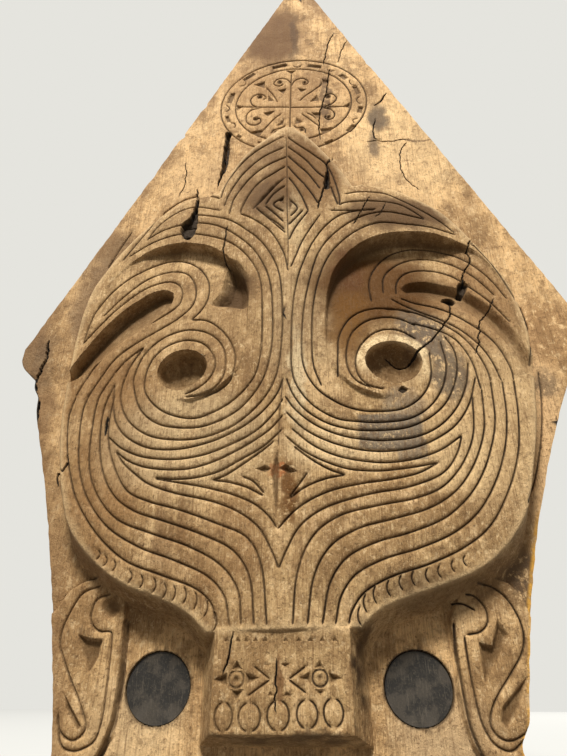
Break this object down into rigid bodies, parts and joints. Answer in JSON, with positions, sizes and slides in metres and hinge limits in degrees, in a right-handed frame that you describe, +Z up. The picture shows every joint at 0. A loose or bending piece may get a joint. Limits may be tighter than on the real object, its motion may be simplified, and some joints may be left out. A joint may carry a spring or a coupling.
{
  "type": "carved roof finial",
  "caption": "Kite-shaped carved wooden roof finial: a mask in high relief on a thick plank, with a chip-carved medallion above and round dark inlays beside the neck.",
  "frame": {"origin": "on the flat back face, on the centre line, level with the two side corners", "axes": "+Z up towards the point, +X to the viewer's right, the carved front faces -Y and the back face +Y"},
  "size_m": [0.619, 0.078, 1.208],
  "materials": {
    "aged_wood": "weathered, dry, hand-carved",
    "dark_inlay": "charcoal, worn satin"
  },
  "bodies": {
    "root": {"carved_board": "aged_wood", "inlay_disc_left": "dark_inlay", "inlay_disc_right": "dark_inlay"}
  },
  "joints": []
}
